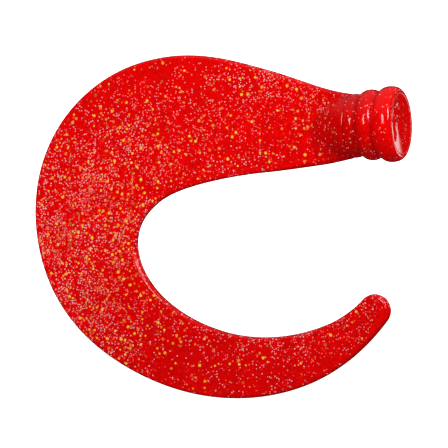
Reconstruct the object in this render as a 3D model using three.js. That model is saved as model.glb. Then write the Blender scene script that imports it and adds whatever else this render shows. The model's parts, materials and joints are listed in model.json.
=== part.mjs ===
// A curl tail for a large jointed pike lure: one soft plastisol moulding.
// A ribbed plug at the front presses into the socket of the lure's body, a round neck thins down
// to a flat blade, and the blade curls round like a sickle to a round tip.
// The moulding bends everywhere, so the blade is a chain of short links with a hinge between each
// pair. Sweep hinges let it wag to the sides, and curl hinges let the curl open and close.
// Millimetres. The origin is the centre of the plug's front rim, +X points out of the plug along its
// axis, +Z is up, and the blade lies in the XZ plane.

import * as THREE from "three";

// ---- Plug and neck ----
const RIM_RADIUS = 10.5; // outer edge of the flat rim at the front of the plug
const DISH_RADIUS = 9.8; // the shallow dish inside the rim
const DISH_FLOOR_RADIUS = 1;
const DISH_DEPTH = 1.35;
const FLANGE = { crownX: -3.4, crownRadius: 11.7, frontX: 0, backX: -6.6 };
const RIB = { crownX: -9.4, crownRadius: 10.95, frontX: -6.6, backX: -12.4 };
const COLLAR = { crownX: -14.2, crownRadius: 9.7, frontX: -12.4, backX: -15.5 };
const FIRST_GROOVE_RADIUS = 9.3; // between the flange and the rib
const SECOND_GROOVE_RADIUS = 9.0; // between the rib and the collar
const NECK_RADIUS = 9.3;
const NECK_LENGTH = 12; // the round neck thins into the flat blade over this length
const NECK_TAPER_POWER = 2.2; // above 1 makes the taper a rounded dome
const RING_SIDES = 48;
const BEAD_STEPS = 6;

// ---- Blade ----
const BLADE_THICKNESS = 3.5;
const EDGE_RADIUS = 1.2;
const TAIL_START_X = -15; // where the blade's centreline leaves the plug, heading along -X
const TAIL_LENGTH = 231; // along the centreline, from there to the centre of the round tip
// Curl of the centreline in degrees for each 10 mm, at equal steps from the neck to the tip.
const CURL_RATES = [-4.75, 2.25, 17.75, 17.25, 8.75, 9.5, 12];
// Full width of the blade, at equal steps from the neck to the tip.
const WIDTHS = [19.2, 31.5, 41.5, 41.5, 33.5, 26, 21, 16, 10];
// Near the neck the edge inside the curl lies further out. The flare rises over the first distances
// along the centreline and has faded away at the length.
const INNER_FLARE = { width: 1, from: -6, to: 10, length: 35 };

// ---- Joints ----
const FIRST_JOINT_AT = 20; // along the centreline
const JOINT_PITCH = 17;
const JOINT_COUNT = 12; // odd ones sweep to the sides, even ones open and close the curl
const LINK_GAP = 0.6; // lets 3.5 mm thick links turn 15 degrees to each side on a sweep joint
const PLUG_GAP = 0.3;
const OPEN_LIMIT = 8; // degrees that a curl joint opens
const CLOSE_LIMIT = 3; // degrees that a curl joint closes
const NOTCH_MARGIN = 0.5; // degrees of clearance beyond each limit
// Where the curl is sharpest, its inner edge is too short for a full turn at each joint.
const SHARP_BEND = { from: 60, to: 130, share: 0.6 };

const CENTRELINE_STEP = 0.5;
const RED = 0xd90b0b;

const radians = THREE.MathUtils.degToRad;

// The centreline's turn in radians for each millimetre, at a distance along it.
function curlRateAt(along) {
  const share = THREE.MathUtils.clamp(along / TAIL_LENGTH, 0, 1) * (CURL_RATES.length - 1);
  const step = Math.min(Math.floor(share), CURL_RATES.length - 2);
  const rate = THREE.MathUtils.lerp(CURL_RATES[step], CURL_RATES[step + 1], share - step);
  return radians(rate) / 10;
}

// Points every CENTRELINE_STEP along the centreline: { x, z, heading }.
function traceCentreline() {
  const points = [{ x: TAIL_START_X, z: 0, heading: Math.PI }];
  const steps = Math.ceil(TAIL_LENGTH / CENTRELINE_STEP);
  for (let i = 0; i < steps; i += 1) {
    const last = points[i];
    const turn = curlRateAt((i + 0.5) * CENTRELINE_STEP) * CENTRELINE_STEP;
    const middle = last.heading + turn / 2;
    points.push({
      x: last.x + CENTRELINE_STEP * Math.cos(middle),
      z: last.z + CENTRELINE_STEP * Math.sin(middle),
      heading: last.heading + turn,
    });
  }
  return points;
}

const CENTRELINE = traceCentreline();

// Place and direction of the centreline at any distance along it. It runs straight on past its end.
function centreAt(along) {
  const i = THREE.MathUtils.clamp(Math.floor(along / CENTRELINE_STEP), 0, CENTRELINE.length - 1);
  const from = CENTRELINE[i];
  const rest = along - i * CENTRELINE_STEP;
  const turn = i < CENTRELINE.length - 1 ? curlRateAt(along) * rest : 0;
  const heading = from.heading + turn / 2;
  return {
    x: from.x + rest * Math.cos(heading),
    z: from.z + rest * Math.sin(heading),
    heading: from.heading + turn,
  };
}

const widthCurve = new THREE.SplineCurve(WIDTHS.map((width, i) => new THREE.Vector2(i, width)));
const TIP_RADIUS = WIDTHS[WIDTHS.length - 1] / 2;
const TIP_TRIM = 0.97; // share of the tip's radius at which its last flat is cut
const SHORTEST_MIDDLE = 0.1; // limits of a section's middle stretch, as shares of its flat width
const LONGEST_MIDDLE = 0.98;

// Half the blade's width. Past the end of the centreline it follows the circle of the tip.
function halfWidthAt(along) {
  if (along > TAIL_LENGTH) {
    return Math.sqrt(Math.max(TIP_RADIUS ** 2 - (along - TAIL_LENGTH) ** 2, 0));
  }
  return widthCurve.getPoint(along / TAIL_LENGTH).y / 2;
}

function innerFlareAt(along) {
  const rise = THREE.MathUtils.smoothstep(along, INNER_FLARE.from, INNER_FLARE.to);
  return INNER_FLARE.width * rise * (1 - THREE.MathUtils.smoothstep(along, 0, INNER_FLARE.length));
}

// Radius of the round neck, which sinks into the blade's faces at NECK_LENGTH.
function neckRadiusAt(along) {
  const share = THREE.MathUtils.clamp(along / NECK_LENGTH, 0, 1);
  const half = BLADE_THICKNESS / 2;
  return half + (NECK_RADIUS - half) * (1 - share ** NECK_TAPER_POWER);
}

// Half the thickness at a distance across the blade: a flat slab with rounded edges, and the neck.
function halfThicknessAt(along, across) {
  const edge = Math.max(Math.abs(across) - (halfWidthAt(along) - EDGE_RADIUS), 0);
  const slab = BLADE_THICKNESS / 2 - EDGE_RADIUS + Math.sqrt(Math.max(EDGE_RADIUS ** 2 - edge ** 2, 0));
  const neck = along < NECK_LENGTH ? neckRadiusAt(along) ** 2 - across ** 2 : 0;
  return Math.max(slab, Math.sqrt(Math.max(neck, 0)));
}

// Distances across the section at which it is sampled: the round edges, and a middle stretch that
// runs from one crease between the neck and the blade's face to the other.
function acrossSteps(along, spans) {
  const halfWidth = halfWidthAt(along);
  const edge = Math.min(EDGE_RADIUS, halfWidth);
  const flat = halfWidth - edge;
  const crease = Math.sqrt(Math.max(neckRadiusAt(along) ** 2 - (BLADE_THICKNESS / 2) ** 2, 0));
  const middle = THREE.MathUtils.clamp(crease, SHORTEST_MIDDLE * flat, LONGEST_MIDDLE * flat);
  const inner = Array.from({ length: spans + 1 }, (_, i) => -middle * Math.cos((i * Math.PI) / spans));
  const outer = [flat, flat + edge * Math.SQRT1_2, halfWidth];
  return [...outer.map((a) => -a).reverse(), ...inner, ...outer];
}

const upright = () => 0;

// One cross-section of the tail, front face and back face, with the section's points moved along
// the blade by lean(across).
function crossSection(along, spans, lean = upright) {
  const { x, z, heading } = centreAt(along);
  const innerStretch = 1 + innerFlareAt(along) / halfWidthAt(along);
  const side = (sign) =>
    acrossSteps(along, spans).map((a) => {
      const across = a > 0 ? a * innerStretch : a;
      const forward = lean(across);
      return new THREE.Vector3(
        x + forward * Math.cos(heading) - across * Math.sin(heading),
        sign * halfThicknessAt(along, a),
        z + forward * Math.sin(heading) + across * Math.cos(heading),
      );
    });
  return { front: side(-1), back: side(1) };
}

// A closed solid through a list of cross-sections that all have the same number of points.
function loft(sections) {
  const count = sections[0].front.length;
  const positions = sections.flatMap(({ front, back }) => [...front, ...back]).flatMap((p) => p.toArray());
  const front = (section, i) => section * 2 * count + i;
  const back = (section, i) => front(section, i) + count;
  const faces = [];
  const quad = (a, b, c, d) => faces.push(a, c, b, a, d, c);
  for (let s = 0; s < sections.length - 1; s += 1) {
    for (let i = 0; i < count - 1; i += 1) {
      quad(front(s, i), front(s, i + 1), front(s + 1, i + 1), front(s + 1, i));
      quad(back(s, i), back(s + 1, i), back(s + 1, i + 1), back(s, i + 1));
    }
    quad(front(s, 0), front(s + 1, 0), back(s + 1, 0), back(s, 0));
    quad(front(s, count - 1), back(s, count - 1), back(s + 1, count - 1), front(s + 1, count - 1));
  }
  const end = sections.length - 1;
  for (let i = 0; i < count - 1; i += 1) {
    quad(front(0, i), back(0, i), back(0, i + 1), front(0, i + 1));
    quad(front(end, i), front(end, i + 1), back(end, i + 1), back(end, i));
  }
  const geometry = new THREE.BufferGeometry();
  geometry.setAttribute("position", new THREE.Float32BufferAttribute(positions, 3));
  geometry.setIndex(faces);
  geometry.computeVertexNormals();
  return geometry;
}

const jointAt = (number) => FIRST_JOINT_AT + (number - 1) * JOINT_PITCH;
const isCurlJoint = (number) => number % 2 === 0;

// The V notch that lets a link turn on a curl joint. Opening closes the gap on the outside of the
// curl, at negative distances across, and closing shuts it on the inside.
function notch(number, across) {
  const along = jointAt(number);
  const sharp = along > SHARP_BEND.from && along < SHARP_BEND.to;
  const limit = (across < 0 ? OPEN_LIMIT : CLOSE_LIMIT) * (sharp ? SHARP_BEND.share : 1);
  return Math.abs(across) * Math.tan(radians(limit + NOTCH_MARGIN));
}

// The cross-sections just before and just after a joint. Both are parallel to the joint's own.
const sectionBefore = (number, spans) => crossSection(jointAt(number), spans, () => -LINK_GAP / 2);
const sectionAfter = (number, spans) =>
  crossSection(jointAt(number), spans, (across) =>
    LINK_GAP / 2 + (isCurlJoint(number) ? notch(number, across) : 0),
  );

function plasticMesh(name, geometry) {
  const material = new THREE.MeshStandardMaterial({ color: RED, roughness: 0.35, metalness: 0 });
  const mesh = new THREE.Mesh(geometry, material);
  mesh.name = name;
  return mesh;
}

// A solid of revolution about the X axis from [x, radius] pairs that start and end on the axis.
function turned(profile) {
  const points = profile.map(([x, radius]) => new THREE.Vector2(radius, x));
  return new THREE.LatheGeometry(points, RING_SIDES).rotateZ(-Math.PI / 2);
}

// Half of a bead's rounded profile, from its crown down to the groove at x.
function beadHalf({ crownX, crownRadius }, grooveX, grooveRadius) {
  return Array.from({ length: BEAD_STEPS + 1 }, (_, i) => {
    const angle = (i / BEAD_STEPS) * (Math.PI / 2);
    return [
      crownX + (grooveX - crownX) * Math.sin(angle),
      grooveRadius + (crownRadius - grooveRadius) * Math.cos(angle),
    ];
  });
}

function bead(shape, frontRadius, backRadius) {
  const front = shape.frontX - PLUG_GAP / 2;
  const back = shape.backX + PLUG_GAP / 2;
  return turned([
    [back, 0],
    ...beadHalf(shape, back, backRadius).reverse(),
    ...beadHalf(shape, front, frontRadius).slice(1),
    [front, 0],
  ]);
}

// The front bead has the flat rim and the shallow dish inside it.
function flange() {
  const back = FLANGE.backX + PLUG_GAP / 2;
  return turned([
    [back, 0],
    ...beadHalf(FLANGE, back, FIRST_GROOVE_RADIUS).reverse(),
    ...beadHalf(FLANGE, FLANGE.frontX, RIM_RADIUS).slice(1),
    [FLANGE.frontX, DISH_RADIUS],
    [FLANGE.frontX - DISH_DEPTH, DISH_FLOOR_RADIUS],
    [FLANGE.frontX - DISH_DEPTH, 0],
  ]);
}

const NECK_STEPS = 10;
const NECK_SPANS = 10;

function neck() {
  const start = TAIL_START_X - COLLAR.backX + PLUG_GAP / 2;
  const sections = Array.from({ length: NECK_STEPS }, (_, i) =>
    crossSection(THREE.MathUtils.lerp(start, FIRST_JOINT_AT, i / NECK_STEPS), NECK_SPANS),
  );
  return loft([...sections, sectionBefore(1, NECK_SPANS)]);
}

const LINK_STEPS = 3;
const LINK_SPANS = 2;
const TIP_STEPS = 6;

// The link behind joint `number`, up to the next joint, or round the tip behind the last one.
function link(number) {
  const last = number === JOINT_COUNT;
  const start = jointAt(number);
  const end = last ? TAIL_LENGTH : jointAt(number + 1);
  const sections = [sectionAfter(number, LINK_SPANS)];
  for (let i = 1; i < LINK_STEPS; i += 1) {
    sections.push(crossSection(THREE.MathUtils.lerp(start, end, i / LINK_STEPS), LINK_SPANS));
  }
  if (!last) {
    sections.push(sectionBefore(number + 1, LINK_SPANS));
    return loft(sections);
  }
  for (let i = 0; i <= TIP_STEPS; i += 1) {
    const angle = (i / TIP_STEPS) * Math.asin(TIP_TRIM);
    sections.push(crossSection(TAIL_LENGTH + TIP_RADIUS * Math.sin(angle), LINK_SPANS));
  }
  return loft(sections);
}

const tail = new THREE.Group();
tail.add(plasticMesh("plug_flange", flange()));
tail.add(plasticMesh("plug_rib", bead(RIB, FIRST_GROOVE_RADIUS, SECOND_GROOVE_RADIUS)));
tail.add(plasticMesh("plug_collar", bead(COLLAR, SECOND_GROOVE_RADIUS, NECK_RADIUS)));
tail.add(plasticMesh("neck", neck()));
for (let number = 1; number < JOINT_COUNT; number += 1) {
  tail.add(plasticMesh(`blade_link_${String(number).padStart(2, "0")}`, link(number)));
}
tail.add(plasticMesh("tip", link(JOINT_COUNT)));

export default tail;
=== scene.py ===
import json
import math
import random

import bpy
import numpy as np
from mathutils import Matrix, Vector, noise


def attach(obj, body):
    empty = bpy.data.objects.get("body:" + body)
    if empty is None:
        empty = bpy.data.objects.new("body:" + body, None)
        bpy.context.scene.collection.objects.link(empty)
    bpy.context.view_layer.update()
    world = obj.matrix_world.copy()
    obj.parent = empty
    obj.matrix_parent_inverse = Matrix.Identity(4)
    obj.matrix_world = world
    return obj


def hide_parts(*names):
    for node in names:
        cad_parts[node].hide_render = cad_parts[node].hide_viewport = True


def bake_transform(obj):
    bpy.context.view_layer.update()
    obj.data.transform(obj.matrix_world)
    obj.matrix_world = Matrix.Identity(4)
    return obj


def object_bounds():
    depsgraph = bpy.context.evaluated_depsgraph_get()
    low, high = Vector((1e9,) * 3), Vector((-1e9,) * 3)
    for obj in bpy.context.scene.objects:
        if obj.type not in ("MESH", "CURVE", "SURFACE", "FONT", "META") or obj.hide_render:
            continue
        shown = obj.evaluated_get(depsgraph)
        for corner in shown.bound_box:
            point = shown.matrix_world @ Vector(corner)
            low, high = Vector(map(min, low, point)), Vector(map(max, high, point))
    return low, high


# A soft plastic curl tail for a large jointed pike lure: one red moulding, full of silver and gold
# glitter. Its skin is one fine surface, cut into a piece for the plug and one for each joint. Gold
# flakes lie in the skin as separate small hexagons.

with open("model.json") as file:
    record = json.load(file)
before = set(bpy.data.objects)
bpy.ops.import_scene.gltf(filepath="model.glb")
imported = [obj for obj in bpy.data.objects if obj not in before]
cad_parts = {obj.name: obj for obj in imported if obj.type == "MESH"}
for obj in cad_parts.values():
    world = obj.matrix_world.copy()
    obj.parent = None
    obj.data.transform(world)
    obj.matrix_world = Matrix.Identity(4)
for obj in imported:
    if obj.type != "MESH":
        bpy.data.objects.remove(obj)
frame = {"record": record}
cad_low, cad_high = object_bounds()

MM = 0.001

# ---- Driving dimensions in millimetres, the same as in the CAD ----
RIM_RADIUS = 10.5
DISH_RADIUS = 9.8
# Each bead: crown place, crown radius, and the groove behind it.
FLANGE = {"crown_x": -3.4, "crown_radius": 11.7, "back_x": -6.6, "back_radius": 9.3}
RIB = {"crown_x": -9.4, "crown_radius": 10.95, "back_x": -12.4, "back_radius": 9.0}
COLLAR = {"crown_x": -14.2, "crown_radius": 9.7, "back_x": -15.5}
NECK_RADIUS = 9.3
NECK_LENGTH = 12
NECK_TAPER_POWER = 2.2
BLADE_THICKNESS = 3.5
EDGE_RADIUS = 1.2
TAIL_START_X = -15
TAIL_LENGTH = 231
CURL_RATES = [-4.75, 2.25, 17.75, 17.25, 8.75, 9.5, 12]  # degrees in each 10 mm, at even steps
WIDTHS = [19.2, 31.5, 41.5, 41.5, 33.5, 26, 21, 16, 10]  # at even steps from the plug to the tip
INNER_FLARE = {"width": 1, "length": 35, "from": -6, "to": 10}
TIP_RADIUS = WIDTHS[-1] / 2
FIRST_JOINT_AT = 20
JOINT_PITCH = 17
JOINT_COUNT = 12

# ---- Detail that only the looks need, in millimetres ----
DISH_DEPTH = 1.35
LIP_HEIGHT = 0.22  # the rim is a small round lip
FILLET_HEIGHT = 4.5  # how far the neck's dome melts into the blade's faces
FILLET_AT_EDGE = 0.3  # the same at the blade's outline
SHOULDER = {"height": 0.25, "length": 5}  # the collar fades away over the start of the neck
PARTING_RIDGE = 0.07  # the faint line the mould's two halves leave along the side walls
FACE_WAVES = 0.07  # uneven thickness of the blade
BLADE_WARP = 0.45  # how far the blade strays from its flat middle plane

# ---- Resolution of the skin ----
ARC_STEPS = 6
FACE_STEPS = 44
ROWS_PER_LINK = 20
NECK_ROWS = 20
BEAD_STEPS = 9
DISH_ROWS = 24
LIP_STEPS = 6
TIP_FAN_STEPS = 26

SEED = 11


def smoothstep(low, high, value):
    """0 at low, 1 at high, with a soft start and end between them."""
    share = np.clip((value - low) / (high - low), 0, 1)
    return share * share * (3 - 2 * share)


# ---- Centreline and widths of the tail ----
CENTRELINE_STEP = 0.25


def trace_centreline():
    """Distances along the centreline and its x, z and heading there."""
    along = np.arange(0, TAIL_LENGTH + CENTRELINE_STEP / 2, CENTRELINE_STEP)
    middles = along[:-1] + CENTRELINE_STEP / 2
    knots = np.linspace(0, TAIL_LENGTH, len(CURL_RATES))
    turn = np.radians(np.interp(middles, knots, CURL_RATES)) / 10 * CENTRELINE_STEP
    heading = math.pi + np.concatenate([[0], np.cumsum(turn)])
    middle_heading = (heading[:-1] + heading[1:]) / 2
    x = TAIL_START_X + np.concatenate([[0], np.cumsum(CENTRELINE_STEP * np.cos(middle_heading))])
    z = np.concatenate([[0], np.cumsum(CENTRELINE_STEP * np.sin(middle_heading))])
    return along, x, z, heading


CENTRELINE = trace_centreline()


def centre_at(along):
    """Point of the centreline, its direction, and the direction across the blade, in x and z."""
    distances, x, z, heading = CENTRELINE
    h = np.interp(along, distances, heading)
    point = np.array([np.interp(along, distances, x), np.interp(along, distances, z)])
    tangent = np.array([math.cos(h), math.sin(h)])
    across = np.array([-math.sin(h), math.cos(h)])
    return point, tangent, across


def half_width_at(along):
    """Half the blade's width, on a Catmull-Rom curve through WIDTHS."""
    place = min(max(along / TAIL_LENGTH, 0), 1) * (len(WIDTHS) - 1)
    i = min(int(place), len(WIDTHS) - 2)
    t = place - i
    before, start, end = WIDTHS[max(i - 1, 0)], WIDTHS[i], WIDTHS[i + 1]
    after = WIDTHS[min(i + 2, len(WIDTHS) - 1)]
    first, last = (end - before) / 2, (after - start) / 2
    cubic = 2 * start - 2 * end + first + last
    square = -3 * start + 3 * end - 2 * first - last
    return (cubic * t**3 + square * t**2 + first * t + start) / 2


def joint_at(number):
    """Distance along the centreline of a joint, counted from 1 at the plug."""
    return FIRST_JOINT_AT + (number - 1) * JOINT_PITCH


# ---- Cross-section of the tail ----
def dome_height(along, across):
    """Half the thickness of the round neck, which sinks into the blade and is negative beyond."""
    half = BLADE_THICKNESS / 2
    radius = half + (NECK_RADIUS - half) * (1 - (along / NECK_LENGTH) ** NECK_TAPER_POWER)
    radius += SHOULDER["height"] * (1 - float(smoothstep(0, SHOULDER["length"], along)))
    if radius < abs(across):
        return radius - abs(across)
    return math.sqrt(radius**2 - across**2)


def half_thickness(along, across, edge_distance):
    """Half the thickness: a slab with round edges, and the neck's dome with a soft fillet."""
    inside = min(max(EDGE_RADIUS - edge_distance, 0), EDGE_RADIUS)
    slab = BLADE_THICKNESS / 2 - EDGE_RADIUS + math.sqrt(EDGE_RADIUS**2 - inside**2)
    dome = dome_height(along, across)
    reach = min(FILLET_HEIGHT, FILLET_AT_EDGE + edge_distance)
    melt = max(reach - abs(slab - dome), 0) ** 2 / (4 * reach)
    return max(slab, dome) + melt


def half_outline(half_width):
    """[across, distance from the edge] from the edge to the middle of the blade, both included."""
    flat = half_width - EDGE_RADIUS
    stations = []
    for i in range(ARC_STEPS):
        across = flat + EDGE_RADIUS * math.cos(i / ARC_STEPS * math.pi / 2)
        stations.append((across, half_width - across))
    for i in range(FACE_STEPS // 2 + 1):
        across = flat * (1 - i / (FACE_STEPS // 2))
        stations.append((across, half_width - across))
    return stations


HALF_COUNT = ARC_STEPS + FACE_STEPS // 2 + 1
FACE_COUNT = 2 * HALF_COUNT - 1
WALL_COUNT = 3
RING_COUNT = 2 * FACE_COUNT + 2 * WALL_COUNT
WALL_LINE = 0.16  # half the width of the parting ridge


def ring_section(along):
    """[across, y] round the section: front face, outer wall, back face, inner wall."""
    half_width = half_width_at(along)
    inner = half_outline(half_width)
    stations = inner + [(-across, edge) for across, edge in reversed(inner[:-1])]
    front = [(across, -half_thickness(along, across, edge)) for across, edge in stations]
    back = [(across, -y) for across, y in reversed(front)]
    crest = half_width + PARTING_RIDGE
    outer_wall = [(-half_width, -WALL_LINE), (-crest, 0), (-half_width, WALL_LINE)]
    inner_wall = [(half_width, WALL_LINE), (crest, 0), (half_width, -WALL_LINE)]
    return np.array(front + outer_wall + back + inner_wall)


def inner_flare(along):
    """How much further out the edge inside the curl lies, near the neck."""
    rise = smoothstep(INNER_FLARE["from"], INNER_FLARE["to"], along)
    return INNER_FLARE["width"] * float(rise * (1 - smoothstep(0, INNER_FLARE["length"], along)))


def flared(along, across):
    """A distance across the blade, stretched on the inner side as the flare asks."""
    if across <= 0:
        return across
    return across * (1 + inner_flare(along) / half_width_at(along))


def ring_points(along):
    """The points of one ring of the tail, at a distance along its centreline."""
    point, _, across = centre_at(along)
    section = ring_section(along)
    section[:, 0] = [flared(along, place) for place in section[:, 0]]
    xz = point + section[:, :1] * across
    return np.column_stack([xz[:, 0], section[:, 1], xz[:, 1]])


# ---- Plug ----
# A torn S-shaped scar in the dish, where the casting's stub was cut away: [y, z] along it.
SCAR = [(-5.0, 5.6), (-3.2, 4.9), (-2.6, 3.0), (-3.9, 1.2), (-4.6, -0.8), (-3.4, -2.8), (-4.4, -4.4)]
SCAR_RIDGE = {"height": 0.5, "half_width": 0.5}
SCAR_GROOVE = {"depth": 0.7, "half_width": 0.8, "offset": -1.2}
TORN = {"height": 0.12, "size": 1.6, "from_z": -2.5, "to_z": 0.5}  # roughness of the dish's upper part


def distance_to_scar(y, z, offset):
    """Distance from a point of the dish to the scar's line, which is moved sideways by offset."""
    best = np.full(np.shape(y), np.inf)
    for (ya, za), (yb, zb) in zip(SCAR, SCAR[1:]):
        ya, yb = ya + offset, yb + offset
        length = (yb - ya) ** 2 + (zb - za) ** 2
        share = np.clip(((y - ya) * (yb - ya) + (z - za) * (zb - za)) / length, 0, 1)
        best = np.minimum(best, np.hypot(y - ya - share * (yb - ya), z - za - share * (zb - za)))
    return best


def scar_relief(y, z):
    """How far the dish's floor stands proud at a point of it."""
    ridge = distance_to_scar(y, z, 0) / SCAR_RIDGE["half_width"]
    groove = distance_to_scar(y, z, SCAR_GROOVE["offset"]) / SCAR_GROOVE["half_width"]
    raised = SCAR_RIDGE["height"] * np.exp(-(ridge**2))
    return raised - SCAR_GROOVE["depth"] * np.exp(-(groove**2)) + torn_relief(y, z)


def torn_relief(y, z):
    """Small lumps in the upper part of the dish."""
    places = zip(np.ravel(y) / TORN["size"], np.ravel(z) / TORN["size"])
    lumps = np.array([noise.noise(Vector((a, b, 0.7))) for a, b in places]).reshape(np.shape(y))
    return 2 * TORN["height"] * lumps * smoothstep(TORN["from_z"], TORN["to_z"], z)


def bead_profile(bead, front_x, front_radius):
    """[x, radius] from the groove in front of a bead to the one behind it, the first left out."""
    points = []
    for i in range(1, 2 * BEAD_STEPS + 1):
        angle = (i / BEAD_STEPS - 1) * math.pi / 2
        x_end, radius_end = (front_x, front_radius) if angle < 0 else (bead["back_x"], bead["back_radius"])
        x = bead["crown_x"] + (x_end - bead["crown_x"]) * abs(math.sin(angle))
        radius = radius_end + (bead["crown_radius"] - radius_end) * math.cos(angle)
        points.append((x, radius))
    return points


DISH_FLOOR_RADIUS = 1.0
DISH_SOFTNESS = 2.0  # length over which the flat floor turns up into the sloping wall
PROFILE_SMOOTHING = 5  # passes that round the grooves between the beads
SMOOTHING_MARGIN = 0.4  # step to each of the two spare points that keep the collar's end in place


def dish_depth(radius):
    """Depth of a dish with a flat floor, a straight sloping wall and a soft turn between them."""
    start = DISH_FLOOR_RADIUS - DISH_SOFTNESS / 2
    wall = DISH_RADIUS - DISH_FLOOR_RADIUS
    past = min(max(radius - start, 0), DISH_SOFTNESS)
    rise = past**2 / (2 * DISH_SOFTNESS) + max(radius - start - DISH_SOFTNESS, 0)
    return DISH_DEPTH * (1 - rise / wall)


def smoothed(points):
    """A line of points with its corners rounded and its two ends kept."""
    for _ in range(PROFILE_SMOOTHING):
        inner = (points[:-2] + 2 * points[1:-1] + points[2:]) / 4
        points = np.concatenate([points[:1], inner, points[-1:]])
    return points


def plug_profile():
    """[x, radius] from the middle of the dish, over the rim and the beads, to the neck."""
    points = []
    for i in range(1, DISH_ROWS + 1):
        radius = DISH_RADIUS * i / DISH_ROWS
        points.append((-dish_depth(radius), radius))
    middle, half = (RIM_RADIUS + DISH_RADIUS) / 2, (RIM_RADIUS - DISH_RADIUS) / 2
    points.pop()
    for i in range(LIP_STEPS + 1):
        angle = math.pi * i / LIP_STEPS
        points.append((LIP_HEIGHT * (math.sin(angle) - 1), middle - half * math.cos(angle)))
    beads = bead_profile(FLANGE, -LIP_HEIGHT, RIM_RADIUS)
    beads += bead_profile(RIB, FLANGE["back_x"], FLANGE["back_radius"])
    collar = {**COLLAR, "back_radius": NECK_RADIUS + SHOULDER["height"]}
    beads += bead_profile(collar, RIB["back_x"], RIB["back_radius"])
    beads += [(COLLAR["back_x"] - n * SMOOTHING_MARGIN, collar["back_radius"]) for n in (1, 2)]
    return points + smoothed(np.array(beads)).tolist()[:-2]


# The blade's inner edge runs on as a low web over the collar.
WEB_HEIGHT = 0.35
WEB_SHARPNESS = 3


def web_height(x):
    """How far the web under the collar stands out of it."""
    return WEB_HEIGHT * float(np.interp(-x, [-RIB["back_x"], -COLLAR["back_x"]], [0, 1]))


BEAD_WOBBLE = 0.006  # share of the radius by which the soft beads are out of round
WOBBLE_ALONG = 0.25  # waves of the wobble for each millimetre of length
WOBBLE_ROUND = 1.7  # and for each radius across
DISH_EDGE_FADE = {"from": 2.6, "to": 0.8}  # the scar fades out this far inside the dish's edge


def plug_ring(x, radius, directions):
    """A ring of the plug whose points lie in the same directions as the neck's."""
    steady = float(smoothstep(COLLAR["back_x"], RIB["back_x"], x))
    points = []
    for y, z in directions:
        place = Vector((x * WOBBLE_ALONG, y * WOBBLE_ROUND, z * WOBBLE_ROUND))
        wobble = 1 + steady * BEAD_WOBBLE * noise.noise(place)
        points.append((x, y * radius * wobble, z * radius * wobble))
    points = np.array(points)
    points[:, 2] -= web_height(x) * np.clip([-z for _, z in directions], 0, 1) ** WEB_SHARPNESS
    fade_from, fade_to = DISH_RADIUS - DISH_EDGE_FADE["from"], DISH_RADIUS - DISH_EDGE_FADE["to"]
    inside_dish = 1 - smoothstep(fade_from, fade_to, radius)
    points[:, 0] += scar_relief(points[:, 1], points[:, 2]) * inside_dish
    return points


# ---- Whole skin ----
NECK_START = 0.9  # along the centreline, just behind the collar
HALF_PITCH = JOINT_PITCH / 2
SEAMS = [joint_at(n) - HALF_PITCH for n in range(1, JOINT_COUNT + 1)] + [TAIL_LENGTH]


def ring_stations():
    """Distances along the centreline of all rings of the tail, and the numbers of the seam rings."""
    stations = list(np.linspace(NECK_START, SEAMS[0], NECK_ROWS + 1))
    seams = [len(stations) - 1]
    for start, end in zip(SEAMS, SEAMS[1:]):
        rows = round(ROWS_PER_LINK * (end - start) / JOINT_PITCH)
        stations += list(np.linspace(start, end, rows + 1))[1:]
        seams.append(len(stations) - 1)
    return stations, seams


# Waves for each millimetre, and where in the noise each of the two patterns is taken from.
SWAY = {"waves": 0.022, "origin": Vector((3.1, 7.7, 0.4))}
SWELL = {"waves": 0.075, "origin": Vector((9.3, 1.2, 5.5))}
# The warp begins at the first x and is full at the second, and anywhere lower than the plug.
WARP_FADE = {"from_x": -24, "to_x": -48, "full_below_z": -12}


def warp(x, z):
    """How far the blade's middle plane strays to the side, and the unevenness of its faces."""
    place = Vector((x, z, 0))
    sway = noise.noise(place * SWAY["waves"] + SWAY["origin"])
    swell = noise.noise(place * SWELL["waves"] + SWELL["origin"])
    return BLADE_WARP * 2 * sway, FACE_WAVES * 2 * swell


def uneven(points):
    """Lets the flat blade stray a little from its plane, less and less towards the plug."""
    for p in points:
        fade = float(smoothstep(WARP_FADE["from_x"], WARP_FADE["to_x"], p[0]))
        if p[2] < WARP_FADE["full_below_z"]:
            fade = 1.0
        sway, swell = warp(p[0], p[2])
        p[1] += fade * (sway + math.copysign(swell, p[1]) * min(abs(p[1]), 1))
    return points


def build_skin():
    """All points of the skin, its faces, and for each face the row that it belongs to."""
    stations, seams = ring_stations()
    first = ring_section(stations[0])
    directions = [(y / math.hypot(a, y), a / math.hypot(a, y)) for a, y in first]
    rows = [plug_ring(x, radius, directions) for x, radius in plug_profile()]
    plug_rows = len(rows)
    rows += [uneven(ring_points(along)) for along in stations]
    middle = np.array([[-DISH_DEPTH + float(scar_relief(np.array(0.0), np.array(0.0))), 0, 0]])
    fan, fan_faces = tip_fan(len(rows))
    points = np.concatenate([*rows, middle, fan])
    pole = len(rows) * RING_COUNT
    faces, owners = [], []
    for i in range(RING_COUNT):
        faces.append((pole, i, (i + 1) % RING_COUNT))
        owners.append(0)
    for row in range(len(rows) - 1):
        start = row * RING_COUNT
        for i in range(RING_COUNT):
            j = (i + 1) % RING_COUNT
            faces.append((start + i, start + RING_COUNT + i, start + RING_COUNT + j, start + j))
            owners.append(row)
    faces += fan_faces
    owners += [len(rows)] * len(fan_faces)
    seam_rows = [plug_rows + seam for seam in seams[:-1]]
    return points, faces, owners, seam_rows, [stations[s] for s in seams[:-1]]


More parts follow.
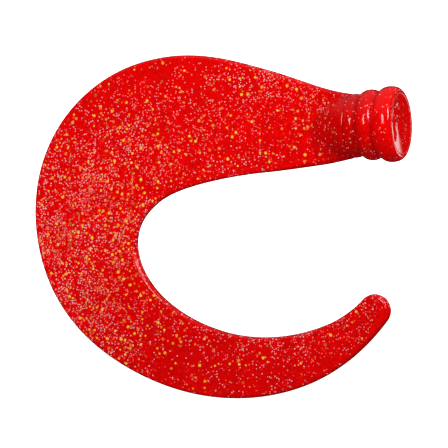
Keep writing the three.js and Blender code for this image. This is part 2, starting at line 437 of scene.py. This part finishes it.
def tip_fan(row_count):
    """Points and faces of the round tip: the inner half of the last ring swept round to the outer."""
    point, tangent, across = centre_at(TAIL_LENGTH)
    section = ring_section(TAIL_LENGTH)
    last_ring = (row_count - 1) * RING_COUNT
    first_new = row_count * RING_COUNT + 1
    middle_front = HALF_COUNT - 1
    middle_back = FACE_COUNT + WALL_COUNT + HALF_COUNT - 1
    back_from_wall = list(range(middle_back, RING_COUNT))
    inner_half = back_from_wall + list(range(middle_front + 1))
    outer_half = [mirrored(i) for i in inner_half]
    swept = inner_half[1:-1]
    points = []
    for step in range(1, TIP_FAN_STEPS):
        angle = math.pi * step / TIP_FAN_STEPS
        direction = math.cos(angle) * across + math.sin(angle) * tangent
        for i in swept:
            reach, y = section[i]
            xz = point + reach * direction
            points.append((xz[0], y, xz[1]))
    points = uneven(np.array(points))

    def index(step, place):
        if place in (0, len(inner_half) - 1) or step == 0:
            return last_ring + inner_half[place]
        if step == TIP_FAN_STEPS:
            return last_ring + outer_half[place]
        return first_new + (step - 1) * len(swept) + place - 1

    faces = []
    for step in range(TIP_FAN_STEPS):
        for place in range(len(inner_half) - 1):
            corners = [
                index(step, place),
                index(step + 1, place),
                index(step + 1, place + 1),
                index(step, place + 1),
            ]
            faces.append(tuple(dict.fromkeys(corners)))
    return points, faces


def mirrored(i):
    """The point of a ring across the blade's middle from point i."""
    if i < FACE_COUNT:
        return FACE_COUNT - 1 - i
    if i >= RING_COUNT - WALL_COUNT:
        return FACE_COUNT + (RING_COUNT - 1 - i)
    if i < FACE_COUNT + WALL_COUNT:
        return RING_COUNT - 1 - (i - FACE_COUNT)
    first_back = FACE_COUNT + WALL_COUNT
    return first_back + (FACE_COUNT - 1 - (i - first_back))


def skin_normals(points, faces):
    """Smooth normals of the whole skin, so that the cuts between its pieces don't show."""
    mesh = bpy.data.meshes.new("whole_skin")
    mesh.from_pydata(points.tolist(), [], faces)
    mesh.update()
    normals = np.zeros(len(points) * 3, np.float32)
    mesh.vertex_normals.foreach_get("vector", normals)
    bpy.data.meshes.remove(mesh)
    return normals.reshape(-1, 3)


def cap_faces(start, flip):
    """Quads across a cut section, from its front face to its back face."""
    first_back = FACE_COUNT + WALL_COUNT
    faces = []
    for i in range(FACE_COUNT - 1):
        back = first_back + FACE_COUNT - 1 - i
        faces.append((i, i + 1, back - 1, back))
    faces.append(tuple(range(FACE_COUNT - 1, first_back + 1)))
    faces.append((*range(first_back + FACE_COUNT - 1, RING_COUNT), 0))
    faces = [tuple(start + i for i in face) for face in faces]
    return [face[::-1] for face in faces] if flip else faces


def make_piece(name, skin, first_row, last_row):
    """One closed piece of the skin between two rows. A row of None is the skin's own end."""
    points, faces, owners, normals = skin
    low = 0 if first_row is None else first_row
    high = max(owners) if last_row is None else last_row - 1
    chosen = [face for face, owner in zip(faces, owners) if low <= owner <= high]
    outer_count = len(chosen)
    if first_row is not None:
        chosen += cap_faces(first_row * RING_COUNT, flip=False)
    if last_row is not None:
        chosen += cap_faces(last_row * RING_COUNT, flip=True)
    used = sorted({i for face in chosen for i in face})
    renumbered = {old: new for new, old in enumerate(used)}
    mesh = bpy.data.meshes.new(name)
    mesh.from_pydata((points[used] * MM).tolist(), [], [[renumbered[i] for i in f] for f in chosen])
    mesh.update()
    loop_normals = [normals[i] for face in chosen[:outer_count] for i in face]
    for polygon in mesh.polygons[outer_count:]:
        loop_normals += [polygon.normal.copy()] * polygon.loop_total
    for polygon in mesh.polygons:
        polygon.use_smooth = True
    mesh.normals_split_custom_set([tuple(n) for n in loop_normals])
    obj = bpy.data.objects.new(name, mesh)
    bpy.context.scene.collection.objects.link(obj)
    add_attribute(mesh, "rest_mm", "FLOAT_VECTOR", points[used])
    return obj


def add_attribute(mesh, name, kind, values):
    """Stores a value or a vector at each corner point of a mesh, for its material to read."""
    attribute = mesh.attributes.new(name, kind, "POINT")
    field = "vector" if kind == "FLOAT_VECTOR" else "value"
    attribute.data.foreach_set(field, np.asarray(values, np.float32).ravel())


# ---- Glitter density ----
# The share of flakes that show along the outer edge, the middle and the inner edge of the blade, at
# distances along its centreline. The plug holds the fewest.
GLITTER_AT = [0, 12, 30, 52, 76, 108, 138, 158, 198, 231]
GLITTER_OUTER = [0.14, 0.36, 0.75, 0.04, 0.04, 0.82, 0.82, 0.06, 0.18, 0.04]
GLITTER_MIDDLE = [0.06, 0.20, 0.22, 0.34, 0.62, 0.95, 0.50, 0.16, 0.20, 0.36]
GLITTER_INNER = [0.06, 0.18, 0.26, 0.36, 0.32, 0.60, 0.34, 0.28, 0.58, 0.46]
PLUG_GLITTER = 0.11
PLUG_HALF_HEIGHT = 1.1 * FLANGE["crown_radius"]  # tells the plug from the tip, which reaches as far


def glitter_at(along, share):
    """Glitter at a distance along the tail, and a share from -1 outside the curl to 1 inside."""
    outer, middle, inner = (
        np.interp(along, GLITTER_AT, row) for row in (GLITTER_OUTER, GLITTER_MIDDLE, GLITTER_INNER)
    )
    return middle + np.maximum(share, 0) * (inner - middle) + np.maximum(-share, 0) * (outer - middle)


def place_on_blade(point):
    """Distance along the centreline of the nearest place to a point, and the share across it."""
    distances, x, z, _ = CENTRELINE
    nearest = distances[np.argmin((x - point[0]) ** 2 + (z - point[2]) ** 2)]
    centre, _, across = centre_at(nearest)
    offset = np.array([point[0], point[2]]) - centre
    return nearest, float(np.clip(offset @ across / half_width_at(nearest), -1, 1))


# How deep the red is: palest in the thin flange, darker in the rib and deepest in the solid neck,
# which is partly the deeper colour of thick plastic and partly painted shade; the blade is also
# darker towards the tip. The first list follows the plug from its face backwards, the second the
# blade from the neck to the tip.
DEPTH_AND_SHADE_AT_X = [-15, -11.5, -8.5, -6.6, -5.5, 0]
PLUG_DEPTH_AND_SHADE = [0.90, 0.65, 0.40, 0.25, 0.00, 0.00]
DEPTH_AND_SHADE_AT = [0, 9, 16, 26, 60, 110, 150, 231]
BLADE_DEPTH_AND_SHADE = [0.85, 0.20, 0.18, 0.14, 0.08, 0.00, 0.42, 0.42]
EDGE_PAINTED_SHADE = {"depth": 0.6, "width": 0.7}  # painted shade: the thin round edge is painted darker


def paint(points):
    """The share of glitter and the depth of the red, partly painted shade, at each point of the skin."""
    glitter, depth = [], []
    for point in points:
        if point[0] > TAIL_START_X and abs(point[2]) < PLUG_HALF_HEIGHT:
            glitter.append(PLUG_GLITTER)
            depth.append(np.interp(point[0], DEPTH_AND_SHADE_AT_X, PLUG_DEPTH_AND_SHADE))
        else:
            along, share = place_on_blade(point)
            glitter.append(glitter_at(along, share))
            inside = half_width_at(along) * (1 - abs(share))
            # Painted shade along the round edge of the blade.
            edge = EDGE_PAINTED_SHADE["depth"] * (1 - smoothstep(0, EDGE_PAINTED_SHADE["width"], inside))
            depth.append(np.interp(along, DEPTH_AND_SHADE_AT, BLADE_DEPTH_AND_SHADE) + edge)
    return glitter, depth


# ---- Materials ----
def new_material(name):
    """An empty material with its node tree and its shader."""
    material = bpy.data.materials.new(name)
    material.use_nodes = True
    tree = material.node_tree
    tree.nodes.clear()
    shader = tree.nodes.new("ShaderNodeBsdfPrincipled")
    output = tree.nodes.new("ShaderNodeOutputMaterial")
    tree.links.new(shader.outputs["BSDF"], output.inputs["Surface"])
    return material, tree, shader


def put(tree, target, value):
    """Links a node's output into an input, or sets the input to a constant."""
    if isinstance(value, bpy.types.NodeSocket):
        tree.links.new(value, target)
    else:
        target.default_value = value


def attribute(tree, name, output):
    """A value stored in the mesh, as the output "Fac" or "Vector"."""
    node = tree.nodes.new("ShaderNodeAttribute")
    node.attribute_name = name
    return node.outputs[output]


def math_node(tree, operation, *values):
    node = tree.nodes.new("ShaderNodeMath")
    node.operation = operation
    for socket, value in zip(node.inputs, values):
        put(tree, socket, value)
    return node.outputs[0]


def vector_math(tree, operation, *values):
    node = tree.nodes.new("ShaderNodeVectorMath")
    node.operation = operation
    for socket, value in zip(node.inputs, values):
        put(tree, socket, value)
    return node.outputs[0]


def scaled(tree, vector, factor):
    node = tree.nodes.new("ShaderNodeVectorMath")
    node.operation = "SCALE"
    put(tree, node.inputs[0], vector)
    put(tree, node.inputs["Scale"], factor)
    return node.outputs[0]


def map_range(tree, value, from_low, from_high, to_low=0.0, to_high=1.0):
    """A smooth step between two values, held at them outside the range."""
    node = tree.nodes.new("ShaderNodeMapRange")
    node.interpolation_type = "SMOOTHSTEP"
    for socket, given in zip(node.inputs, (value, from_low, from_high, to_low, to_high)):
        put(tree, socket, given)
    return node.outputs[0]


def mix_colour(tree, factor, first, second):
    node = tree.nodes.new("ShaderNodeMix")
    node.data_type = "RGBA"
    put(tree, node.inputs[0], factor)
    put(tree, node.inputs[6], first)
    put(tree, node.inputs[7], second)
    return node.outputs[2]


def mix_value(tree, factor, first, second):
    node = tree.nodes.new("ShaderNodeMix")
    put(tree, node.inputs[0], factor)
    put(tree, node.inputs[2], first)
    put(tree, node.inputs[3], second)
    return node.outputs[0]


def noise_texture(tree, coordinates, size, detail=2.0):
    """Noise whose waves are about size long, in the coordinates' own unit."""
    node = tree.nodes.new("ShaderNodeTexNoise")
    put(tree, node.inputs["Vector"], coordinates)
    put(tree, node.inputs["Scale"], 1 / size)
    put(tree, node.inputs["Detail"], detail)
    return node.outputs["Fac"]


SPECKLE_RIM = 0.8  # share of its radius at which a speckle starts to fade


def speckles(tree, coordinates, cell, radius, density):
    """Round flakes set at random in the plastic: where they show, their random numbers and colour."""
    node = tree.nodes.new("ShaderNodeTexVoronoi")
    put(tree, node.inputs["Vector"], coordinates)
    put(tree, node.inputs["Scale"], 1 / cell)
    reach = radius / cell
    spot = map_range(tree, node.outputs["Distance"], SPECKLE_RIM * reach, reach, 1.0, 0.0)
    parts = tree.nodes.new("ShaderNodeSeparateColor")
    put(tree, parts.inputs[0], node.outputs["Color"])
    chosen = math_node(tree, "LESS_THAN", parts.outputs[0], density)
    return math_node(tree, "MULTIPLY", spot, chosen), parts.outputs, node.outputs["Color"]


RED = (0.72, 0.0002, 0.0002, 1)
# Partly painted shade: the darker red that the depth mixes in, in the rib, the neck, the round edge and
# towards the tip.
SHADED_DEEP_RED = (0.46, 0.0001, 0.0001, 1)
# Painted glints in part: the silver flakes' near-white colour, and the magenta of some, stand in for the
# sparkle of silver glitter.
SILVER_GLINT = (1.0, 0.68, 0.68, 1)
MAGENTA = (1.0, 0.24, 0.40, 1)
DUST = (0.95, 0.28, 0.27, 1)
ORANGE = (0.95, 0.16, 0.006, 1)
OLIVE = (0.36, 0.09, 0.008, 1)
# Sizes are in millimetres. A pattern goes from one end to the other while its noise crosses the spread.
CLUMPS = {"size": 5.0, "spread": (0.35, 0.65), "least": 0.6, "most": 1.25}  # of glitter
CLOUDS = {"size": 9.0, "detail": 3.0, "spread": (0.3, 0.7), "depth": 0.12}  # of deeper and paler red
GRAIN = {"size": 0.7, "spread": (0.3, 0.7), "plain": 0.11, "by_glitter": 0.22}
# Speckles: the cell that can hold one, its radius, and how many cells do for each share of glitter.
DUST_SPECKLES = {"cell": 0.7, "radius": 0.21, "share": 0.7, "least": 0.08}
GOLD_SPECKLES = {"cell": 1.9, "radius": 0.5, "share": 0.65, "strength": (0.25, 0.9)}
SILVER_SPECKLES = {"cell": 0.6, "radius": 0.235, "share": 0.85, "strength": (0.15, 1.0)}
SILVER_METAL = 0.25
SILVER_TILT = 0.5  # how far the silver flakes lie askew
MAGENTA_FROM = 0.55  # random number above which a silver flake turns to magenta
ROUGHNESS = {"plastic": 0.42, "silver": 0.28}
BUMP = {"size": 1.6, "detail": 3.0, "strength": 0.25, "height": 0.03 * MM}
SCATTER = {"weight": 0.35, "radius": (1.0, 0.03, 0.03), "scale": 1.5 * MM}
COAT = {"weight": 0.9, "roughness": 0.09, "ior": 1.45}


def plastisol_material():
    """Glossy red soft plastic with silver flakes at and under its surface and deep gold ones. Its red
    holds painted shade in part, and its silver flakes painted glints.
    """
    material, tree, shader = new_material("red_glitter_plastisol")
    place = attribute(tree, "rest_mm", "Vector")
    density = attribute(tree, "glitter", "Fac")

    clump_noise = noise_texture(tree, place, CLUMPS["size"])
    clumps = map_range(tree, clump_noise, *CLUMPS["spread"], CLUMPS["least"], CLUMPS["most"])
    local = math_node(tree, "MULTIPLY", density, clumps)

    cloud_noise = noise_texture(tree, place, CLOUDS["size"], CLOUDS["detail"])
    clouds = map_range(tree, cloud_noise, *CLOUDS["spread"], -CLOUDS["depth"], CLOUDS["depth"])
    # The stored depth is partly the deeper red of thick plastic and partly painted shade; the clouds add
    # random deeper and paler red.
    depth = math_node(tree, "ADD", attribute(tree, "depth", "Fac"), clouds)
    colour = mix_colour(tree, depth, RED, SHADED_DEEP_RED)
    grain = map_range(tree, noise_texture(tree, place, GRAIN["size"]), *GRAIN["spread"], -1.0, 1.0)
    grain_strength = math_node(tree, "MULTIPLY_ADD", density, GRAIN["by_glitter"], GRAIN["plain"])
    colour = scaled(tree, colour, math_node(tree, "MULTIPLY_ADD", grain, grain_strength, 1.0))

    size = DUST_SPECKLES
    dust_share = math_node(tree, "MULTIPLY_ADD", local, size["share"], size["least"])
    dust, dust_random, _ = speckles(tree, place, size["cell"], size["radius"], dust_share)
    dust_strength = math_node(tree, "MULTIPLY", dust, dust_random[1])
    colour = mix_colour(tree, dust_strength, colour, DUST)

    size = GOLD_SPECKLES
    gold_share = math_node(tree, "MULTIPLY", local, size["share"])
    gold, gold_random, _ = speckles(tree, place, size["cell"], size["radius"], gold_share)
    gold_colour = mix_colour(tree, gold_random[2], ORANGE, OLIVE)
    fullness = map_range(tree, gold_random[1], 0, 1, *size["strength"])
    gold_strength = math_node(tree, "MULTIPLY", gold, fullness)
    colour = mix_colour(tree, gold_strength, colour, gold_colour)

    size = SILVER_SPECKLES
    silver_share = math_node(tree, "MULTIPLY", local, size["share"])
    found = speckles(tree, place, size["cell"], size["radius"], silver_share)
    silver, silver_random, silver_colour = found
    # Each silver flake's random brightness is a painted glint, standing in for how strongly it catches the
    # light.
    brightness = map_range(tree, silver_random[1], 0.0, 1.0, *size["strength"])
    silver_and_glint_strength = math_node(tree, "MULTIPLY", silver, brightness)
    tint = map_range(tree, silver_random[2], MAGENTA_FROM, 1.0)
    colour = mix_colour(tree, silver_and_glint_strength, colour, mix_colour(tree, tint, SILVER_GLINT, MAGENTA))
    put(tree, shader.inputs["Base Color"], colour)

    metal = math_node(tree, "MULTIPLY", silver_and_glint_strength, SILVER_METAL)
    put(tree, shader.inputs["Metallic"], metal)
    roughness = mix_value(tree, silver_and_glint_strength, ROUGHNESS["plastic"], ROUGHNESS["silver"])
    put(tree, shader.inputs["Roughness"], roughness)

    bump = tree.nodes.new("ShaderNodeBump")
    put(tree, bump.inputs["Strength"], BUMP["strength"])
    put(tree, bump.inputs["Distance"], BUMP["height"])
    put(tree, bump.inputs["Height"], noise_texture(tree, place, BUMP["size"], BUMP["detail"]))
    tilt = vector_math(tree, "SUBTRACT", silver_colour, (0.5, 0.5, 0.5))
    tilt = scaled(tree, tilt, math_node(tree, "MULTIPLY", silver, SILVER_TILT))
    tilted = vector_math(tree, "NORMALIZE", vector_math(tree, "ADD", bump.outputs[0], tilt))
    put(tree, shader.inputs["Normal"], tilted)

    put(tree, shader.inputs["Subsurface Weight"], SCATTER["weight"])
    put(tree, shader.inputs["Subsurface Radius"], SCATTER["radius"])
    put(tree, shader.inputs["Subsurface Scale"], SCATTER["scale"])
    put(tree, shader.inputs["Specular IOR Level"], 0.0)
    put(tree, shader.inputs["Coat Weight"], COAT["weight"])
    put(tree, shader.inputs["Coat Roughness"], COAT["roughness"])
    put(tree, shader.inputs["Coat IOR"], COAT["ior"])
    put(tree, shader.inputs["Coat Normal"], bump.outputs[0])
    return material


BRIGHT_GOLD = (1.0, 0.60, 0.015, 1)
# A flake's random shade turns it from bright gold to orange over the first range, and from that to
# olive over the second.
ORANGE_SHADES = (0.1, 0.8)
OLIVE_SHADES = (0.84, 0.95)
# The uneven film of plastic over the gold, which also makes it more or less glossy.
FILM = {"size": 0.3, "orange": 0.35, "spread": (0.2, 0.8)}
GOLD_METAL = (0.05, 0.2)
GOLD_ROUGHNESS = (0.25, 0.4)
GOLD_COAT = {"weight": 0.6, "roughness": 0.09}


def gold_material():
    """Hexagonal gold flakes, some bright, some orange and some dull olive."""
    material, tree, shader = new_material("gold_hexagon_glitter")
    place = attribute(tree, "rest_mm", "Vector")
    shade = attribute(tree, "shade", "Fac")
    colour = mix_colour(tree, map_range(tree, shade, *ORANGE_SHADES), BRIGHT_GOLD, ORANGE)
    colour = mix_colour(tree, map_range(tree, shade, *OLIVE_SHADES), colour, OLIVE)
    film = noise_texture(tree, place, FILM["size"])
    colour = mix_colour(tree, math_node(tree, "MULTIPLY", film, FILM["orange"]), colour, ORANGE)
    put(tree, shader.inputs["Base Color"], colour)
    put(tree, shader.inputs["Metallic"], map_range(tree, film, *FILM["spread"], *GOLD_METAL))
    put(tree, shader.inputs["Roughness"], map_range(tree, film, *FILM["spread"], *GOLD_ROUGHNESS))
    put(tree, shader.inputs["Coat Weight"], GOLD_COAT["weight"])
    put(tree, shader.inputs["Coat Roughness"], GOLD_COAT["roughness"])
    return material


FLOOR_WHITES = ((0.93, 0.93, 0.93, 1), (0.97, 0.97, 0.97, 1))
FLOOR_GRAIN = 40  # waves for each metre
FLOOR_ROUGHNESS = 0.9
FLOOR_GLOW = 0.95
BACKDROP_GLOW = 1.5


def floor_material():
    """A matt white light table."""
    material, tree, shader = new_material("white_paper")
    coordinates = tree.nodes.new("ShaderNodeTexCoord")
    grain = tree.nodes.new("ShaderNodeTexNoise")
    put(tree, grain.inputs["Vector"], coordinates.outputs["Object"])
    put(tree, grain.inputs["Scale"], FLOOR_GRAIN)
    colour = mix_colour(tree, grain.outputs["Fac"], *FLOOR_WHITES)
    put(tree, shader.inputs["Base Color"], colour)
    put(tree, shader.inputs["Roughness"], FLOOR_ROUGHNESS)
    put(tree, shader.inputs["Specular IOR Level"], 0.0)
    put(tree, shader.inputs["Emission Color"], (1, 1, 1, 1))
    put(tree, shader.inputs["Emission Strength"], FLOOR_GLOW)
    return material


def backdrop_material():
    """White paper lit from behind."""
    material, tree, shader = new_material("white_backdrop")
    put(tree, shader.inputs["Base Color"], (1, 1, 1, 1))
    put(tree, shader.inputs["Specular IOR Level"], 0.0)
    put(tree, shader.inputs["Emission Color"], (1, 1, 1, 1))
    put(tree, shader.inputs["Emission Strength"], BACKDROP_GLOW)
    return material


# ---- Gold flakes ----
FLAKE_SIDES = 6
FLAKE_RADIUS = (0.28, 0.54)
FLAKE_THICKNESS = 0.12
FLAKE_PROUD = 0.03  # how far a flake's face stands out of the skin
FLAKE_TILT = math.radians(3.5)  # standard deviation
FIRST_FLAKE = 4  # distance along the centreline, clear of the plug
FLAKE_MARGIN = 1.2  # from the blade's outline
FLAKE_SPACING = 1.15
FLAKE_TRIES = 2300  # on each face
# The share of gold flakes at distances along the centreline.
GOLD_AT = [0, 12, 48, 72, 84, 108, 132, 156, 180, 231]
GOLD = [0.12, 0.20, 0.28, 0.35, 0.62, 1.00, 0.95, 0.30, 0.18, 0.12]
GOLD_SHARE = 0.9


def surface_point(along, across, side):
    """A point of the blade's face: distance along it, distance across it, and -1 or 1 for the side."""
    point, _, direction = centre_at(along)
    y = side * half_thickness(along, across, half_width_at(along) - abs(across))
    xz = point + flared(along, across) * direction
    return uneven(np.array([[xz[0], y, xz[1]]]))[0]


def surface_normal(along, across, side):
    step = 0.2
    here = surface_point(along, across, side)
    ahead = surface_point(along + step, across, side) - here
    aside = surface_point(along, across + step, side) - here
    normal = np.cross(ahead, aside)
    normal /= np.linalg.norm(normal)
    return normal if normal[1] * side > 0 else -normal


def scatter_flakes(rng):
    """Flakes on both faces of the blade: (distance along it, place, normal)."""
    flakes = []
    widest = max(WIDTHS) / 2
    for side in (-1, 1):
        kept = []
        for _ in range(FLAKE_TRIES):
            along = rng.uniform(FIRST_FLAKE, TAIL_LENGTH)
            reach = half_width_at(along) - FLAKE_MARGIN
            across = rng.uniform(-widest, widest)
            wanted = GOLD_SHARE * float(np.interp(along, GOLD_AT, GOLD))
            if abs(across) > reach or rng.random() > wanted:
                continue
            place = surface_point(along, across, side)
            if any(np.linalg.norm(place - other) < FLAKE_SPACING for other in kept):
                continue
            kept.append(place)
            flakes.append((along, place, surface_normal(along, across, side)))
    return flakes


def flake_prism(place, normal, rng):
    """Corners of a hexagonal flake that lies nearly flat in the surface."""
    axis = Vector(normal)
    sideways = axis.orthogonal().normalized()
    tilt = Matrix.Rotation(rng.gauss(0, FLAKE_TILT), 3, sideways)
    spin = Matrix.Rotation(rng.uniform(0, math.tau), 3, axis)
    facing = (spin @ tilt @ axis).normalized()
    right = facing.orthogonal().normalized()
    up = facing.cross(right)
    radius = rng.uniform(*FLAKE_RADIUS)
    turn = rng.uniform(0, math.tau)
    corners = []
    for height in (FLAKE_PROUD - FLAKE_THICKNESS, FLAKE_PROUD):
        for i in range(FLAKE_SIDES):
            angle = turn + i * math.tau / FLAKE_SIDES
            offset = radius * (math.cos(angle) * right + math.sin(angle) * up)
            corners.append(Vector(place) + offset + height * facing)
    return corners


PRISM_FACES = [tuple(reversed(range(FLAKE_SIDES))), tuple(range(FLAKE_SIDES, 2 * FLAKE_SIDES))]
for corner in range(FLAKE_SIDES):
    following = (corner + 1) % FLAKE_SIDES
    PRISM_FACES.append((corner, following, following + FLAKE_SIDES, corner + FLAKE_SIDES))


def make_flakes(name, flakes, rng):
    """One piece that holds all the gold flakes of a stretch of the blade."""
    points, faces, shades = [], [], []
    for _, place, normal in flakes:
        start = len(points)
        points += flake_prism(place, normal, rng)
        faces += [tuple(start + i for i in face) for face in PRISM_FACES]
        shades += [rng.random()] * 2 * FLAKE_SIDES
    points = np.array([tuple(p) for p in points])
    mesh = bpy.data.meshes.new(name)
    mesh.from_pydata((points * MM).tolist(), [], faces)
    mesh.update()
    obj = bpy.data.objects.new(name, mesh)
    bpy.context.scene.collection.objects.link(obj)
    add_attribute(mesh, "rest_mm", "FLOAT_VECTOR", points)
    add_attribute(mesh, "shade", "FLOAT", shades)
    return obj


# ---- Bodies ----
BODIES = list(frame["record"]["behaviour"]["bodies"])


def build_tail():
    """The skin and its flakes, in one piece for the plug and one across each joint."""
    points, faces, owners, seam_rows, seam_places = build_skin()
    skin = (points, faces, owners, skin_normals(points, faces))
    plastisol = plastisol_material()
    gold = gold_material()
    rng = random.Random(SEED)
    flakes = scatter_flakes(rng)
    edges = [0, *seam_places, TAIL_LENGTH + TIP_RADIUS]
    seam_ends = [None, *seam_rows, None]
    for number in range(JOINT_COUNT + 1):
        suffix = "plug" if number == 0 else f"{number:02d}"
        piece = make_piece(f"tail_skin_{suffix}", skin, seam_ends[number], seam_ends[number + 1])
        # The depth that is stored here is partly painted shade.
        glitter, depth = paint([v.co / MM for v in piece.data.vertices])
        add_attribute(piece.data, "glitter", "FLOAT", glitter)
        add_attribute(piece.data, "depth", "FLOAT", depth)
        piece.data.materials.append(plastisol)
        own = [f for f in flakes if edges[number] <= f[0] < edges[number + 1]]
        flake_piece = make_flakes(f"gold_flakes_{suffix}", own, rng)
        flake_piece.data.materials.append(gold)
        if number == 0:
            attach(piece, BODIES[0])
            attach(flake_piece, BODIES[0])
            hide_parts("plug_flange", "plug_rib", "plug_collar", "neck")
        else:
            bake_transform(piece)
            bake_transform(flake_piece)
            node = "tip" if number == JOINT_COUNT else f"blade_link_{number:02d}"
            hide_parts(node)


build_tail()

# ---- Camera ----
# The photo was taken level, from somewhat right of straight in front of the blade, slightly rolled.
AZIMUTH = math.radians(21.5)
ROLL = math.radians(1.5)
CAMERA_DISTANCE = 1.0
CAMERA_RIGHT = -0.0540
CAMERA_UP = -0.0305
LENS = 264.3

look = Vector((-math.sin(AZIMUTH), math.cos(AZIMUTH), 0))
level = Vector((math.cos(AZIMUTH), math.sin(AZIMUTH), 0))
camera_right = math.cos(ROLL) * level - math.sin(ROLL) * Vector((0, 0, 1))
camera_up = math.sin(ROLL) * level + math.cos(ROLL) * Vector((0, 0, 1))


def from_camera(right, up, towards):
    """A place in the row frame, given from the object's middle as the camera sees it."""
    middle = CAMERA_RIGHT * camera_right + CAMERA_UP * camera_up
    return middle + right * camera_right + up * camera_up - towards * look


def make_camera():
    data = bpy.data.cameras.new("camera")
    data.lens = LENS
    data.sensor_width = 36
    camera = bpy.data.objects.new("camera", data)
    axes = Matrix((camera_right, camera_up, -look)).transposed().to_4x4()
    camera.matrix_world = Matrix.Translation(from_camera(0, 0, CAMERA_DISTANCE)) @ axes
    bpy.context.scene.collection.objects.link(camera)
    bpy.context.scene.camera = camera


make_camera()


# ---- Studio ----
def make_light(name, place, size, power):
    """An oval softbox that faces the object."""
    data = bpy.data.lights.new(name, "AREA")
    data.shape = "ELLIPSE"
    data.size, data.size_y = size
    data.energy = power
    light = bpy.data.objects.new(name, data)
    towards = from_camera(0, 0, 0) - place
    light.matrix_world = Matrix.Translation(place) @ towards.to_track_quat("-Z", "Y").to_matrix().to_4x4()
    light.visible_camera = False
    bpy.context.scene.collection.objects.link(light)


# Both stand above the object, to the right and to the left of the camera. The highlights on the
# beads come from them.
make_light("key_softbox", from_camera(0.26, 0.26, 0.38), (0.07, 0.30), 1.3)
make_light("front_softbox", from_camera(-0.13, 0.16, 0.46), (0.12, 0.26), 0.9)

# Strength of the even light from straight below and from straight above.
AMBIENT = (0.71, 0.86)
# The share of it that comes from behind the object, and how far round it drops to that.
BACK_SHARE = 0.65
BACK_TURN = (-0.3, 0.5)
# Gloss mirrors a bright panel in this direction, behind the blade. Its edge and its full brightness
# are at these cosines of the angle from its middle. Its foot fades out between two heights.
BRIGHT_WALL = {"edge": 0.972, "full": 0.99, "strength": 2.2, "foot": (-0.01, 0.04)}
WALL_DIRECTION = Vector((0.1, 1, 0.05))
CEILING = {"edge": 0.35, "full": 0.9, "strength": 0.35}  # at these heights of a direction
DIM_ROOM = 0.02  # what gloss mirrors everywhere else


def dot_product(tree, first, second):
    node = tree.nodes.new("ShaderNodeVectorMath")
    node.operation = "DOT_PRODUCT"
    put(tree, node.inputs[0], first)
    put(tree, node.inputs[1], second)
    return node.outputs["Value"]


def make_world():
    """An even soft light on matt surfaces. Gloss mirrors a bright wall behind and a dim ceiling."""
    world = bpy.data.worlds.new("studio")
    world.use_nodes = True
    tree = world.node_tree
    tree.nodes.clear()
    direction = tree.nodes.new("ShaderNodeTexCoord").outputs["Generated"]
    parts = tree.nodes.new("ShaderNodeSeparateXYZ")
    put(tree, parts.inputs[0], direction)
    height = parts.outputs[2]
    overhead = map_range(tree, height, CEILING["edge"], CEILING["full"], 0.0, CEILING["strength"])
    aim = dot_product(tree, direction, WALL_DIRECTION.normalized())
    wall = map_range(tree, aim, BRIGHT_WALL["edge"], BRIGHT_WALL["full"], 0.0, BRIGHT_WALL["strength"])
    wall = math_node(tree, "MULTIPLY", wall, map_range(tree, height, *BRIGHT_WALL["foot"]))
    mirrored_light = math_node(tree, "ADD", math_node(tree, "ADD", overhead, wall), DIM_ROOM)
    even_light = map_range(tree, height, -1.0, 1.0, *AMBIENT)
    facing = dot_product(tree, direction, look)
    from_behind = map_range(tree, facing, *BACK_TURN, 1.0, BACK_SHARE)
    even_light = math_node(tree, "MULTIPLY", even_light, from_behind)
    is_glossy = tree.nodes.new("ShaderNodeLightPath").outputs["Is Glossy Ray"]
    strength = mix_value(tree, is_glossy, even_light, mirrored_light)
    background = tree.nodes.new("ShaderNodeBackground")
    put(tree, background.inputs["Strength"], strength)
    output = tree.nodes.new("ShaderNodeOutputWorld")
    tree.links.new(background.outputs[0], output.inputs["Surface"])
    bpy.context.scene.world = world


make_world()


FLOOR_HALF_SIZE = 2.5
FLOOR_DROP = 0.06  # below the tail at rest, which leaves it room to swing down


def make_floor():
    mesh = bpy.data.meshes.new("floor")
    corners = [(-1, -1), (1, -1), (1, 1), (-1, 1)]
    z = cad_low.z - FLOOR_DROP
    points = [(x * FLOOR_HALF_SIZE, y * FLOOR_HALF_SIZE, z) for x, y in corners]
    mesh.from_pydata(points, [], [(0, 1, 2, 3)])
    floor = bpy.data.objects.new("floor", mesh)
    mesh.materials.append(floor_material())
    bpy.context.scene.collection.objects.link(floor)
    floor.visible_diffuse = False
    floor.visible_glossy = False


def make_backdrop():
    """A white dome round the studio that lights nothing and isn't mirrored in the gloss."""
    bpy.ops.mesh.primitive_uv_sphere_add(segments=48, ring_count=24, radius=3, location=(0, 0, 0))
    dome = bpy.context.object
    dome.name = "backdrop"
    dome.data.materials.append(backdrop_material())
    dome.visible_diffuse = False
    dome.visible_glossy = False
    dome.visible_transmission = False
    dome.visible_shadow = False


make_floor()
make_backdrop()
bpy.context.scene.view_settings.view_transform = "Standard"
bpy.context.scene.view_settings.look = "None"
